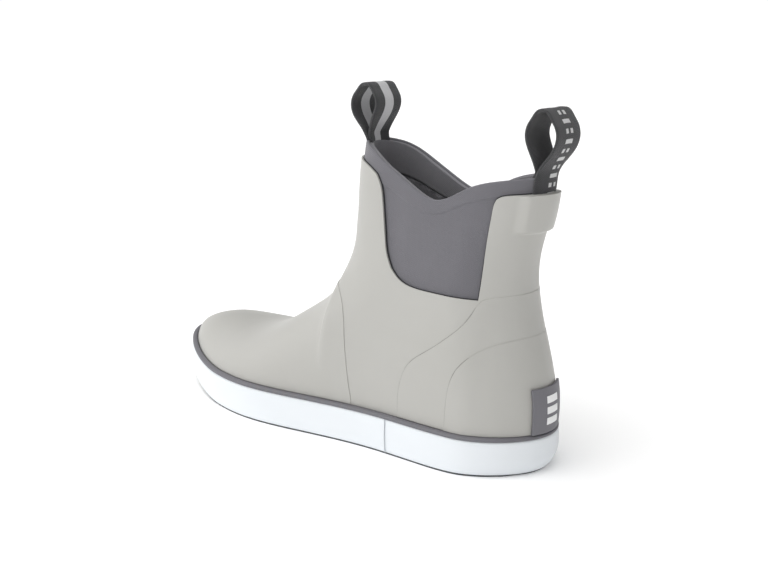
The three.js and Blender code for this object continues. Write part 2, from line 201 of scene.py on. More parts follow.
def side_view(u, v):
    """Side-view x and z. v goes from the foot of the upper to the collar, u from heel centre to ridge."""
    back_z = mix(UPPER_BOTTOM, COLLAR_BACK, v)
    t = (1 - np.cos(np.pi * u)) / 2
    x = mix(back_profile(back_z), ridge_x(v), t)
    foot_x = mix(back_profile(UPPER_BOTTOM), ridge_x(0), t)
    foot_bend = UPPER_BOTTOM + sole_rise(foot_x) - mix(UPPER_BOTTOM, ridge_z(0), t)
    top_x = mix(back_profile(COLLAR_BACK), ridge_x(1), t)
    top_bend = collar_edge(top_x) - mix(COLLAR_BACK, ridge_z(1), t) - collar_slip * (1 - t)
    return x, mix(back_z, ridge_z(v), t) + foot_bend * (1 - v) ** 4 + top_bend * v ** 3


def surface(u, v):
    """Points of the outer face. u runs right round: 0 heel centre, 1 ridge, on to 2 down the outer side."""
    u, v = np.broadcast_arrays(np.mod(u, 2.0), np.clip(v, 0, 1))
    folded = np.where(u <= 1, u, 2 - u)
    x, z = side_view(folded, v)
    inner, outer = sides(x, z)
    return np.stack([x, np.where(u <= 1, inner, outer), z], -1)


def unit(vectors):
    """The same vectors at length 1. A vector of no length stays as it is."""
    return vectors / np.maximum(np.linalg.norm(vectors, axis=-1, keepdims=True), 1e-9)


def upper(u, v, offset=0.0):
    """Points at an offset from the outer face, along its normal."""
    step = 2e-3
    along = surface(u + step, v) - surface(u - step, v)
    up = surface(u, v + step) - surface(u, v - step)
    return surface(u, v) + unit(np.cross(up, along)) * np.asarray(offset)[..., None]


def find_uv(x, z):
    """u and v of a side-view point, by halving."""
    x, z = np.broadcast_arrays(np.asarray(x, float), np.asarray(z, float))
    low, high = np.zeros(x.shape), np.ones(x.shape)

    def share(v):
        back = back_profile(mix(UPPER_BOTTOM, COLLAR_BACK, v))
        t = np.clip((x - back) / (ridge_x(v) - back), 0, 1)
        return np.arccos(1 - 2 * t) / np.pi

    for _ in range(40):
        middle = (low + high) / 2
        above = side_view(share(middle), middle)[1] > z
        high = np.where(above, middle, high)
        low = np.where(above, low, middle)
    return share(low), low


def v_at_height(u, height):
    """v where the surface is height above the toe-sprung ground, along lines of constant u."""
    u = np.asarray(u, float)
    low, high = np.zeros(u.shape), np.ones(u.shape)
    folded = np.where(np.mod(u, 2) <= 1, np.mod(u, 2), 2 - np.mod(u, 2))
    for _ in range(40):
        middle = (low + high) / 2
        x, z = side_view(folded, middle)
        above = z - sole_rise(x) > height
        high = np.where(above, middle, high)
        low = np.where(above, low, middle)
    return low


# ---------- meshes ----------
BEVEL_SEGMENTS = 3
BEVEL_ANGLE = 50                 # degrees; blunter edges stay as they are


def make_object(name, points, faces, material):
    """A smooth-shaded object from points in millimetres."""
    mesh = bpy.data.meshes.new(name)
    mesh.from_pydata((np.asarray(points, float) * MM).tolist(), [], faces)
    mesh.validate()
    mesh.polygons.foreach_set("use_smooth", [True] * len(mesh.polygons))
    mesh.materials.append(material)
    obj = bpy.data.objects.new(name, mesh)
    bpy.context.scene.collection.objects.link(obj)
    return obj


def grid_faces(rows, columns, closed_rows=False, closed_columns=False, flip=False):
    faces = []
    for r in range(rows if closed_rows else rows - 1):
        this_row = r * columns
        next_row = (r + 1) % rows * columns
        for c in range(columns if closed_columns else columns - 1):
            c1 = (c + 1) % columns
            face = [this_row + c, this_row + c1, next_row + c1, next_row + c]
            faces.append(face[::-1] if flip else face)
    return faces


def apply_modifiers(obj):
    """Leaves the finished mesh on the object, with no modifiers."""
    graph = bpy.context.evaluated_depsgraph_get()
    mesh = bpy.data.meshes.new_from_object(obj.evaluated_get(graph))
    obj.modifiers.clear()
    old = obj.data
    obj.data = mesh
    bpy.data.meshes.remove(old)
    return obj


def soften_edges(obj, width):
    """Rounds the sharp rim of a sheet."""
    bevel = obj.modifiers.new("bevel", "BEVEL")
    bevel.width = width * MM
    bevel.segments = BEVEL_SEGMENTS
    bevel.limit_method = "ANGLE"
    bevel.angle_limit = math.radians(BEVEL_ANGLE)
    bevel.use_clamp_overlap = True
    weighted = obj.modifiers.new("weighted", "WEIGHTED_NORMAL")
    weighted.keep_sharp = False
    return apply_modifiers(obj)


def closed_faces(faces, size):
    """Faces of a solid sheet: the outer ones, the same ones on an inner copy of the points, and a rim."""
    directed = {(face[k], face[(k + 1) % len(face)]) for face in faces for k in range(len(face))}
    rim = [[j, i, i + size, j + size] for i, j in sorted(directed) if (j, i) not in directed]
    return faces + [[i + size for i in reversed(face)] for face in faces] + rim


def solid_sheet(name, faces, outer, inner, material, rim):
    """A solid sheet between two layouts of the same points, with its rim rounded."""
    obj = make_object(name, np.concatenate([outer, inner]), closed_faces(faces, len(outer)), material)
    return soften_edges(obj, rim)


def merge_patches(patches):
    """One list of (u, v) points and its faces, from grids that share their borders."""
    index, points, faces = {}, [], []

    def number(u, v):
        key = (round(float(u) % 2, 6) % 2, round(float(v), 6))
        if key not in index:
            index[key] = len(points)
            points.append((u, v))
        return index[key]

    for grid in patches:
        rows, columns = grid.shape[:2]
        numbers = [[number(*grid[r, c]) for c in range(columns)] for r in range(rows)]
        for r in range(rows - 1):
            for c in range(columns - 1):
                corners = [(r, c), (r + 1, c), (r + 1, c + 1), (r, c + 1)]
                face = list(dict.fromkeys(numbers[a][b] for a, b in corners))
                if len(face) > 2:
                    faces.append(face)
    return np.array(points), faces


def layer(name, patches, outer, inner, material, rim=0.4):
    """A solid sheet on the boot's surface. outer and inner are offsets, or functions of u and v."""
    uv, faces = merge_patches(patches)
    u, v = uv.T
    points = [upper(u, v, level(u, v) if callable(level) else level) for level in (outer, inner)]
    return solid_sheet(name, faces, points[0], points[1], material, rim)


def coons(bottom, top, left, right):
    """A grid inside four lines. bottom and top run left to right, left and right from bottom to top."""
    s = np.linspace(0, 1, len(bottom))[None, :, None]
    t = np.linspace(0, 1, len(left))[:, None, None]
    ruled = (1 - t) * bottom[None] + t * top[None] + (1 - s) * left[:, None] + s * right[:, None]
    corners = ((1 - s) * (1 - t) * bottom[0] + s * (1 - t) * bottom[-1]
               + (1 - s) * t * top[0] + s * t * top[-1])
    return ruled - corners


def mirrored(line, centre):
    """The same (u, v) line on the boot's other side, with its points in the same order."""
    other = line.copy()
    other[:, 0] = 2 * centre - other[:, 0]
    return other


def uv_line(points, count, centre=None):
    """A smooth side-view line as (u, v) points. With a centre, 0 or 1, it ends on that centre line."""
    line = strand(points, count)
    uv = np.column_stack(find_uv(line[:, 0], line[:, 1]))
    if centre is not None:
        uv[-1, 0] = centre
    return uv


def across(half, centre):
    """A (u, v) line that ends on a centre line, carried on over the other side. It runs with u rising."""
    other = mirrored(half, centre)
    if centre == 0:
        return np.concatenate([other[:-1], half[::-1]])
    return np.concatenate([half, other[-2::-1]])


def wrap_patch(side_points, top_points, height, centre, columns, rows):
    """A panel that wraps over the heel (centre 0) or the toe (centre 1), from a height above the ground up.

    side_points go up the inner side, and top_points go on from there to the centre line."""
    side = uv_line(side_points, rows)
    top = across(uv_line(top_points, columns, centre), centre)
    reach = side[0, 0] if centre else -side[0, 0]
    along = np.linspace(reach, 2 * centre - reach, len(top))
    bottom = np.column_stack([along, v_at_height(along, height)])
    left = side.copy() if centre else mirrored(side, 0)
    right = mirrored(left, centre)
    left[0] = bottom[0]
    right[0] = bottom[-1]
    return coons(bottom, top, left, right)


def wrap_uv(y, v, centre):
    """u of the point at y on the row v, near the heel centre line (0) or the ridge (1)."""
    y, v = np.broadcast_arrays(np.asarray(y, float), np.asarray(v, float))
    low, high = np.zeros(y.shape), np.full(y.shape, 0.4)
    direction = np.sign(y) * (1 if centre == 0 else -1)
    for _ in range(40):
        middle = (low + high) / 2
        wide = np.abs(surface(centre + direction * middle, v)[..., 1]) > np.abs(y)
        high = np.where(wide, middle, high)
        low = np.where(wide, low, middle)
    return centre + direction * low


def centre_v(z, centre):
    """v of a height on the heel centre line (0) or the ridge (1)."""
    steps = np.linspace(0, 1, 2001)
    return np.interp(z, side_view(float(centre), steps)[1], steps)


# ---------- materials ----------
ROUGHNESS_DRIFT = 0.06
RIBS_PER_WIDTH = 25 / 1.1
YARNS_PER_WIDTH = 25 / 1.3


def rgb(code):
    """A linear colour from a web colour code."""
    parts = [int(code[i:i + 2], 16) / 255 for i in (0, 2, 4)]
    return [c / 12.92 if c <= 0.04045 else ((c + 0.055) / 1.055) ** 2.4 for c in parts] + [1.0]


class Look:
    """A node material: a colour that drifts between two shades, and relief from procedural textures."""

    def __init__(self, name, colour, shade, drift=18.0, roughness=0.5, specular=0.5, **sockets):
        self.material = bpy.data.materials.new(name)
        self.material.use_nodes = True
        self.nodes = self.material.node_tree.nodes
        self.links = self.material.node_tree.links
        self.shader = self.nodes["Principled BSDF"]
        self.shader.inputs["Specular IOR Level"].default_value = specular
        for socket, value in sockets.items():
            self.shader.inputs[socket.replace("_", " ")].default_value = value
        self.place = self.node("ShaderNodeTexCoord").outputs["Object"]
        cloud = self.noise(drift, 3)
        self.colour = self.blend(cloud, rgb(colour), rgb(shade))
        rough = self.node("ShaderNodeMapRange")
        rough.inputs["To Min"].default_value = roughness - ROUGHNESS_DRIFT
        rough.inputs["To Max"].default_value = roughness + ROUGHNESS_DRIFT
        self.links.new(cloud, rough.inputs["Value"])
        self.links.new(rough.outputs["Result"], self.shader.inputs["Roughness"])
        self.normal = None

    def node(self, kind, **values):
        made = self.nodes.new(kind)
        for key, value in values.items():
            setattr(made, key, value)
        return made

    def noise(self, scale, detail=2):
        texture = self.node("ShaderNodeTexNoise")
        texture.inputs["Scale"].default_value = scale
        texture.inputs["Detail"].default_value = detail
        self.links.new(self.place, texture.inputs["Vector"])
        return texture.outputs["Fac"]

    def maths(self, operation, a, b=0.0, clamp=False):
        made = self.node("ShaderNodeMath", operation=operation, use_clamp=clamp)
        for socket, value in zip(made.inputs, (a, b)):
            if isinstance(value, (int, float)):
                socket.default_value = value
            else:
                self.links.new(value, socket)
        return made.outputs[0]

    def blend(self, amount, a, b):
        mixer = self.node("ShaderNodeMix", data_type="RGBA")
        for socket, value in ((mixer.inputs[0], amount), (mixer.inputs[6], a), (mixer.inputs[7], b)):
            if hasattr(value, "default_value"):
                self.links.new(value, socket)
            else:
                socket.default_value = value
        return mixer.outputs[2]

    def relief(self, height, distance, strength=0.5):
        bump = self.node("ShaderNodeBump")
        bump.inputs["Strength"].default_value = strength
        bump.inputs["Distance"].default_value = distance * MM
        self.links.new(height, bump.inputs["Height"])
        if self.normal:
            self.links.new(self.normal, bump.inputs["Normal"])
        self.normal = bump.outputs["Normal"]
        return self

    def knit(self, pitch, distance, strength=0.5):
        """Rows of fine loops that cross each other, as in the face of a knitted cloth."""
        turned = self.node("ShaderNodeSeparateXYZ")
        self.links.new(self.place, turned.inputs[0])
        around = self.maths("ADD", turned.outputs[0], turned.outputs[1])
        rows = self.maths("SINE", self.maths("MULTIPLY", turned.outputs[2], 2 * math.pi / (pitch * MM)))
        wales = self.maths("SINE", self.maths("MULTIPLY", around, 2 * math.pi / (pitch * MM)))
        return self.relief(self.maths("MULTIPLY", rows, wales), distance, strength)

    def done(self):
        self.links.new(self.colour, self.shader.inputs["Base Color"])
        if self.normal:
            self.links.new(self.normal, self.shader.inputs["Normal"])
        return self.material


def rubber(name, colour, shade, roughness=0.42):
    look = Look(name, colour, shade, roughness=roughness, specular=0.4)
    look.relief(look.noise(900, 4), 0.05, 0.35)
    look.relief(look.noise(42, 2), 0.25, 0.12)
    return look.done()


def cloth(name, colour, shade, pitch):
    look = Look(name, colour, shade, drift=30, roughness=0.85, specular=0.2,
                Sheen_Weight=0.25, Sheen_Roughness=0.5)
    look.knit(pitch, 0.25, 0.45)
    look.relief(look.noise(1600, 3), 0.15, 0.35)
    return look.done()


def webbing_look(name, edge, middle, shade, middle_share):
    """Woven tape with a stripe. The strap's UVs run 0 to 1 across it, and along it in the same units."""
    look = Look(name, edge, shade, drift=200, roughness=0.8, specular=0.25, Sheen_Weight=0.2)
    uv = look.node("ShaderNodeUVMap", uv_map="strap").outputs["UV"]
    parts = look.node("ShaderNodeSeparateXYZ")
    look.links.new(uv, parts.inputs[0])
    from_middle = look.maths("ABSOLUTE", look.maths("SUBTRACT", parts.outputs[0], 0.5))
    centre = look.maths("LESS_THAN", from_middle, middle_share / 2)
    look.colour = look.blend(centre, look.colour, rgb(middle))
    ribs = look.maths("SINE", look.maths("MULTIPLY", parts.outputs[1], 2 * math.pi * RIBS_PER_WIDTH))
    yarns = look.maths("SINE", look.maths("MULTIPLY", parts.outputs[0], 2 * math.pi * YARNS_PER_WIDTH))
    weave = look.maths("MULTIPLY", ribs, yarns)
    # painted shade: the weave darkens the tape in a checker of cells, standing in for shade between the
    # yarns
    weave_shade = look.maths("MULTIPLY", look.maths("ADD", weave, 1.0), 0.12)
    look.colour = look.blend(weave_shade, look.colour, rgb("1c1c1e"))
    look.relief(weave, 0.35, 0.6)
    return look, from_middle, parts


pale_rubber = rubber("pale_rubber", "b2b1ad", "acaba6")
label_rubber = rubber("label_rubber", "737278", "6c6b70", roughness=0.5)
stripe_rubber = rubber("stripe_rubber", "6e6d72", "67666b", roughness=0.5)
white_rubber = rubber("white_rubber", "e2e6e9", "dde1e5", roughness=0.38)
# painted shade: near-black rubber for the cord that stands in for the shadow in the gap along the gussets'
# edge
painted_gap_shade = rubber("painted_gap_shade", "2b2b2e", "242427", roughness=0.7)
glue_line = rubber("glue_line", "cdd1d5", "c6cace", roughness=0.7)
# painted shade: a darker rubber for the thin cords that stand in for the shadow at the overlays' steps
painted_step_shade = rubber("painted_step_shade", "8f8e8a", "888783", roughness=0.6)
dark_rubber = rubber("dark_rubber", "4b4f53", "44484c", roughness=0.6)
mark_white = rubber("mark_white", "f0f0f0", "e6e6e6", roughness=0.5)
foam_cloth = cloth("foam_cloth", "706f74", "6a696e", 1.1)
facing_cloth = cloth("facing_cloth", "807f83", "79787c", 1.4)
lining_cloth = cloth("lining_cloth", "7d7c80", "757478", 1.8)
footbed_cloth = cloth("footbed_cloth", "5b5a5e", "525155", 1.6)
footbed_foam = rubber("footbed_foam", "8a8a88", "80807e", 0.8)


# ---------- finishing a piece ----------
def place_piece(obj, body, slot, *nodes):
    """Fixes a piece to a body and hides the CAD nodes that it stands for. slot is not used."""
    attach(obj, body)
    if nodes:
        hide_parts(*nodes)
    return obj


# ---------- rubber shell ----------
HEEL_COLUMNS = 22
PANEL_COLUMNS = 46
TOE_COLUMNS = 84
LOWER_ROWS = 64
STRIP_ROWS = 44
PANEL_CORNER = (-115, 101)
PANEL_FRONT = (-55, 111)
PANEL_FOOT = [PANEL_CORNER, (-98, 101.4), (-82, 101.8), (-70, 102.8), (-62, 105.5), PANEL_FRONT]
HEEL_EDGE = [PANEL_CORNER, (-116.3, 122), (-118.1, 138), (-120.1, 150.6), (-121.7, 156.6), (-122.4, 157.7)]
HEEL_TOP = [(-122.4, 157.7), (-123.6, 158.5), (-127, 159.6), (-134, 160.3), (-142.5, 161)]
SHIN_EDGE = [PANEL_FRONT, (-50.4, 119), (-47.5, 130), (-45.4, 141), (-43.9, 149.7), (-41.4, 158.5),
             (-38, 163.6)]
SHIN_TOP = [(-38, 163.6), (-31.2, 167), (-22.8, 169.4), (-13.8, 171)]
panel_bottom = uv_line(PANEL_FOOT, PANEL_COLUMNS)
heel_waist = uv_line([PANEL_CORNER, (-124, 101.5), (-132.7, 102)], HEEL_COLUMNS, 0)[::-1]
toe_waist = uv_line([PANEL_FRONT, (-30, 111), (-6, 111)], TOE_COLUMNS, 1)
waist = np.concatenate([heel_waist[:-1], panel_bottom[:-1], toe_waist])
FOOT_CORNERS = (0, 0.24, 0.5, 1)       # u of the heel centre, of the panel's two ends and of the toe
foot_u = np.concatenate([
    np.linspace(FOOT_CORNERS[0], FOOT_CORNERS[1], HEEL_COLUMNS)[:-1],
    np.linspace(FOOT_CORNERS[1], FOOT_CORNERS[2], PANEL_COLUMNS)[:-1],
    np.linspace(FOOT_CORNERS[2], FOOT_CORNERS[3], TOE_COLUMNS)])
foot = np.column_stack([foot_u, np.zeros(len(foot_u))])
share = np.linspace(0, 1, LOWER_ROWS)[:, None, None]
lower_inner = (1 - share) * foot[None] + share * waist[None]
lower_outer = lower_inner[:, ::-1].copy()
lower_outer[..., 0] = 2 - lower_outer[..., 0]


def strip(centre, waist_line, edge_points, top_points):
    """The part of the shell that goes up over the heel or the shin, between the two gussets."""
    edge = uv_line(edge_points, STRIP_ROWS)
    bottom = across(waist_line, centre)
    top = across(uv_line(top_points, len(waist_line), centre), centre)
    left = edge if centre else mirrored(edge, 0)
    right = mirrored(left, centre)
    return coons(bottom, top, left, right)


heel_strip = strip(0, heel_waist[::-1], HEEL_EDGE, HEEL_TOP)
shin_strip = strip(1, toe_waist, SHIN_EDGE, SHIN_TOP)

shell_patches = [lower_inner, lower_outer, heel_strip, shin_strip]
shell = layer("shell_rubber", shell_patches, 0.0, -RUBBER, pale_rubber, 0.3)
place_piece(shell, "boot", "shell_rubber", "rubber_shell")


# ---------- painted shade: a near-black cord where the gussets' neoprene meets the rubber, standing in for the shadow in the gap ---
BEAD_LEVEL = -1.55
BEAD_RADIUS = 0.55


def bead(name, line, level, radius, material, closed=True):
    """A thin cord along (u, v) points, at a level on the upper: a loop, or a length with tapered ends."""
    centre = upper(line[:, 0], line[:, 1], np.full(len(line), level))
    if closed:
        along = np.roll(centre, -1, axis=0) - np.roll(centre, 1, axis=0)
        thick = np.full((len(line), 1), radius)
    else:
        along = np.gradient(centre, axis=0)
        thick = radius * np.sqrt(1 - np.linspace(-1, 1, len(line)) ** 24)[:, None]
    out = upper(line[:, 0], line[:, 1], np.full(len(line), level + 1.0)) - centre
    beside = unit(np.cross(unit(along), out))
    angles = np.linspace(0, 2 * np.pi, 8, endpoint=False)
    rings = [centre + thick * (out * np.cos(a) + beside * np.sin(a)) for a in angles]
    faces = grid_faces(len(angles), len(line), True, closed)
    return make_object(name, np.concatenate(rings), faces, material)


edge_line = np.concatenate([
    uv_line(HEEL_TOP, 40, 0)[::-1], uv_line(HEEL_EDGE, 90)[::-1][1:], uv_line(PANEL_FOOT, 90)[1:],
    uv_line(SHIN_EDGE, 90)[1:], uv_line(SHIN_TOP, 40, 1)[1:]])
edge_loop = np.concatenate([edge_line, mirrored(edge_line, 1)[::-1][1:-1]])
gap_shade_cord = bead("gusset_edge_bead", edge_loop, BEAD_LEVEL, BEAD_RADIUS, painted_gap_shade)
place_piece(gap_shade_cord, "boot", "shell_rubber")

# ---------- overlays on the shell ----------
OVERLAY_FOOT = STRIPE_TOP + 0.2
OVERLAY_STEP = 0.55
OVERLAY_ROOT = -0.25             # how far an overlay's inner face is sunk into the shell
OVERLAY_RIM = 0.45
VAMP_HEIGHT = 0.35
EDGE_LEVEL = 0.08                # middle of the shaded line along a panel's edge
EDGE_RADIUS = 0.36
VAMP_SIDE = [(-33.2, 26), (-31.4, 36), (-30, 45), (-28, 60), (-26, 74)]
VAMP_TOP = [(-26, 74), (-23.5, 82), (-18, 90), (-9, 95.5), (-2, 98)]
ANKLE_FRONT = [(-68.4, 26), (-68, 34), (-70, 48), (-74, 57), (-81, 64)]
ANKLE_TOP = [(-81, 64), (-91, 71), (-101, 79), (-109, 87), (-113.5, 95), (-116, 100.2), (-122, 102.6),
             (-133.4, 103.6)]
COUNTER_FRONT = [(-102, 26), (-103, 44), (-104.5, 53), (-108.2, 62)]
COUNTER_TOP = [(-108.2, 62), (-114.5, 69.5), (-122, 75), (-130, 78.2), (-139.8, 80)]


def overlay_level(layers):
    """Height of a panel that lies on others; it thins out towards the back of the heel."""
    def level(u, v):
        behind = ease((-112 - surface(u, v)[:, 0]) / 12)
        return OVERLAY_STEP * layers * (1 - 0.65 * behind)
    return level


vamp_patch = wrap_patch(VAMP_SIDE, VAMP_TOP, OVERLAY_FOOT, 1, 90, 60)
vamp = layer("vamp_panel", [vamp_patch], VAMP_HEIGHT, OVERLAY_ROOT, pale_rubber, 0.4)
place_piece(vamp, "boot", "shell_rubber", "vamp_overlay")

ankle_patch = wrap_patch(ANKLE_FRONT, ANKLE_TOP, OVERLAY_FOOT, 0, 60, 50)
ankle = layer("ankle_panel", [ankle_patch], overlay_level(1), OVERLAY_ROOT, pale_rubber, OVERLAY_RIM)
place_piece(ankle, "boot", "shell_rubber", "ankle_overlay")

counter_patch = wrap_patch(COUNTER_FRONT, COUNTER_TOP, OVERLAY_FOOT, 0, 40, 40)
counter_root = OVERLAY_STEP + OVERLAY_ROOT
counter = layer("heel_counter", [counter_patch], overlay_level(2), counter_root, pale_rubber, OVERLAY_RIM)
place_piece(counter, "boot", "shell_rubber", "heel_counter_overlay")

# painted shade: thin darker cords along the front edges of the ankle panel and the heel counter stand in for
# the shadow at each step
for panel, points, level in (("ankle", ANKLE_FRONT[:-1] + ANKLE_TOP[:6], EDGE_LEVEL),
                             ("counter", COUNTER_FRONT[:-1] + COUNTER_TOP[:2], EDGE_LEVEL + OVERLAY_STEP)):
    front_edge = uv_line(points, 140)
    for side, line in (("inner", front_edge), ("outer", mirrored(front_edge, 0))):
        step_shade_line = bead(f"{panel}_edge_{side}", line, level, EDGE_RADIUS, painted_step_shade, False)
        place_piece(step_shade_line, "boot", "shell_rubber")


# ---------- moulded cover over the rear pull's tail ----------
def heel_block(y_low, y_high, z_low, z_high, columns, rows):
    """A grid of (u, v) points behind the heel, square in y and z."""
    y = np.linspace(y_low, y_high, columns)
    v = centre_v(np.linspace(z_low, z_high, rows), 0)
    yy, vv = np.meshgrid(y, v)
    return np.stack([wrap_uv(yy, vv, 0), vv], -1)


COVER_HEIGHT = 2.9
COVER_HALF_WIDTH = 18.4
COVER_FOOT = 137.2
COVER_TOP = 160.9


def cover_level(u, v):
    """Full height under the top edge, soft at the sides and sharper below."""
    point = surface(u, v)
    beside = ease((COVER_HALF_WIDTH - 0.9 - np.abs(point[:, 1])) / 5.0)
    below = ease((point[:, 2] - COVER_FOOT - 0.4) / 3.0)
    return 0.05 + COVER_HEIGHT * beside * below


cover_patch = heel_block(-COVER_HALF_WIDTH, COVER_HALF_WIDTH, COVER_FOOT, COVER_TOP, 60, 44)
cover = layer("rear_pull_cover", [cover_patch], cover_level, -0.3, pale_rubber, 0.3)
place_piece(cover, "boot", "shell_rubber", "rear_loop_patch")

# ---------- heel label ----------
LABEL_HALF_WIDTH = 13.2
LABEL_FOOT = 25.0
LABEL_TOP = 51.4
LABEL_FACE = 2.4
BAR_HALF_WIDTH = 4.6
BAR_HEIGHT = 4.0
BAR_FEET = (30.0, 36.2, 42.4)

label_patch = heel_block(-LABEL_HALF_WIDTH, LABEL_HALF_WIDTH, LABEL_FOOT, LABEL_TOP, 30, 30)
label = layer("heel_label_plate", [label_patch], LABEL_FACE, 0.8, label_rubber, 0.35)
place_piece(label, "boot", "label_rubber", "heel_label")
bars = [heel_block(-BAR_HALF_WIDTH, BAR_HALF_WIDTH, z, z + BAR_HEIGHT, 12, 6) for z in BAR_FEET]
label_mark = layer("heel_label_mark", bars, LABEL_FACE + 0.25, LABEL_FACE - 0.2, mark_white, 0.12)
place_piece(label_mark, "boot", "label_rubber")

# ---------- neoprene upper ----------
FOAM_COLUMNS = 300
HEM_DEPTH = 9.5
HEM_SWELL = 0.45
GUSSET_SWELL = 0.7
UPPER_HEIGHT = COLLAR_BACK - UPPER_BOTTOM
ring_u = np.linspace(0, 2, FOAM_COLUMNS, endpoint=False)


def below_edge(depth):
    """v at a depth below the collar's edge."""
    return 1 - depth / UPPER_HEIGHT


cap_start = below_edge((FOAM_OUTER - RIM_INNER) / 2)


def foam_face(u, v):
    """Offset of the neoprene's outer face: it swells a little in the gusset and at the turned hem."""
    point = surface(u, v)
    depth = (1 - v) * UPPER_HEIGHT
    hem = HEM_SWELL * ease((HEM_DEPTH - depth) / 1.1)
    gusset = GUSSET_SWELL * ease((point[..., 2] - 103) / 14) * ease(depth / 12)
    gusset = gusset * ease((-52 - point[..., 0]) / 14) * ease((point[..., 0] + 114) / 14)
    return FOAM_OUTER + hem + gusset


outer_rows = np.concatenate([np.linspace(0.01, 0.9, 90), np.linspace(0.9, cap_start, 34)[1:]])
turn = np.linspace(0, np.pi, 13)[1:-1]
cap_rows = cap_start + (1 - cap_start) * np.sin(turn)
inner_rows = np.linspace(cap_start, 0.01, 60)
rows = [upper(ring_u, v, foam_face(ring_u, v)) for v in outer_rows]
rim_face = foam_face(ring_u, cap_start)
for angle, v in zip(turn, cap_rows):
    level = mix(rim_face, RIM_INNER, (1 - np.cos(angle)) / 2)
    rows.append(upper(ring_u, v, level))
for v in inner_rows:
    inside = mix(RIM_INNER, FOAM_INNER, ease((cap_start - v) / 0.02))
    rows.append(upper(ring_u, v, np.full(FOAM_COLUMNS, inside)))
foam_faces = grid_faces(len(rows), FOAM_COLUMNS, True, True)
foam = make_object("neoprene_bootie", np.concatenate(rows), foam_faces, foam_cloth)
place_piece(foam, "boot", "stretch_foam", "neoprene_upper")


# ---------- facing and lining inside ----------
def ring_layer(name, v_low, v_high, row_count, outer, inner, material, rim):
    """A band right round the inside of the upper. outer and inner are offsets, or functions of v."""
    v = np.repeat(np.linspace(v_low, v_high, row_count)[:, None], FOAM_COLUMNS, 1)
    levels = [level(v) if callable(level) else np.full(v.shape, level) for level in (outer, inner)]
    points = [upper(np.broadcast_to(ring_u, v.shape), v, level).reshape(-1, 3) for level in levels]
    faces = grid_faces(row_count, FOAM_COLUMNS, closed_columns=True, flip=True)
    return solid_sheet(name, faces, points[0], points[1], material, rim)


def facing_outer(v):
    """The facing lies on the neoprene's inner face, and thickens where it turns over the rim."""
    return mix(FOAM_INNER - 0.2, RIM_INNER - 0.15, ease((v - cap_start + 0.02) / 0.02))


facing = ring_layer("collar_facing_band", below_edge(12.6), below_edge(0.7), 18, facing_outer, FACING_INNER,
                    facing_cloth, 0.9)
place_piece(facing, "boot", "facing_fabric", "collar_facing")
lining = ring_layer("inner_lining", 0.02, below_edge(13.6), 90, LINING_OUTER, LINING_INNER,
                    lining_cloth, 0.25)
place_piece(lining, "boot", "lining_fabric", "lining")


# ---------- sole unit ----------
def heel_tuck(x, z):
    """How far the sole draws in towards the ground behind the heel, and a little all round."""
    low = np.clip(1 - z / 13, 0, 1) ** 2
    behind = ease((-96 - x) / 50)
    return low * (0.8 + 3.6 * behind)


def sole_ring(s, inset, z):
    """Points once round the sole. s runs 0 to 1 along the inner side from the heel and 1 to 2 back again."""
    x = -np.cos(np.pi * s) * (SOLE_LENGTH / 2 - inset)
    inner, outer = outline(x, inset)
    return np.stack([x, np.where(s <= 1, inner, outer), z + sole_rise(x)], -1)


def seam_station(x, side):
    """Where a seam at x lies on the ring: side is 1 on the inner side and -1 on the outer."""
    at = np.arccos(-x / (SOLE_LENGTH / 2)) / np.pi
    return at if side > 0 else 2 - at


BAND_SEAMS = [(-61.7, 1), (-61.7, -1)]
SEAM_DEPTH = 0.8
SEAM_HALF_WIDTH = 0.45
SEAM_REACH = 0.9                 # half the length that the extra stations beside a seam cover
SEAM_FILL = 0.00045              # half width of the glue line in a seam, in stations


def ring_stations(count, seams):
    """Even stations round the sole, with extra ones packed round each seam."""
    s = np.linspace(0, 2, count, endpoint=False)
    for x, side in seams:
        at = seam_station(x, side)
        near = SEAM_REACH / (SOLE_LENGTH / 2 * np.pi * np.sin(np.pi * at)) * side
        s = s[np.abs(s - at) > abs(near) * 1.6]
        s = np.concatenate([s, at + near * np.array([-1, -0.55, -0.25, 0, 0.25, 0.55, 1])])
    return np.sort(s)


def seam_inset(s):
    """The groove where the ends of the band meet."""
    depth = np.zeros(len(s))
    for x, side in BAND_SEAMS:
        at = seam_station(x, side)
        away = np.abs(s - at) * SOLE_LENGTH / 2 * np.pi * np.sin(np.pi * at)
        depth = np.maximum(depth, SEAM_DEPTH * np.clip(1 - away / SEAM_HALF_WIDTH, 0, 1))
    return depth


def swept(name, s, profile, material):
    """A closed ring round the sole. profile holds (inset, z, weight of the tuck and seam) points."""
    groove = seam_inset(s)
    x = -np.cos(np.pi * s) * SOLE_LENGTH / 2
    rows = [sole_ring(s, inset + weight * (heel_tuck(x, z) + groove), z) for inset, z, weight in profile]
    faces = grid_faces(len(rows), len(s), True, True)
    return make_object(name, np.concatenate(rows), faces, material)


band_stations = ring_stations(420, BAND_SEAMS)
band_outer = [(3.4, 0.75, 1), (1.9, 0.8, 1), (1.15, 1.2, 1), (0.72, 2.3, 1), (0.42, 4.2, 1), (0.2, 7, 1),
              (0.06, 9, 1), (0.0, 11, 1), (0.0, 13, 1), (0.04, 15, 1), (0.12, 17, 1), (0.24, 19, 1),
              (0.4, 20.4, 1), (0.68, 21.5, 1), (1.1, 22.1, 1), (1.7, BAND_TOP, 0.6)]
band_inner = [(4.5, BAND_TOP, 0), (4.5, 12, 0), (5.6, 7, 1), (5.6, 3, 1), (5.0, 0.75, 1)]
band = swept("sidewall_rubber", band_stations, band_outer + band_inner, white_rubber)
place_piece(band, "boot", "sidewall_rubber", "sidewall_band")


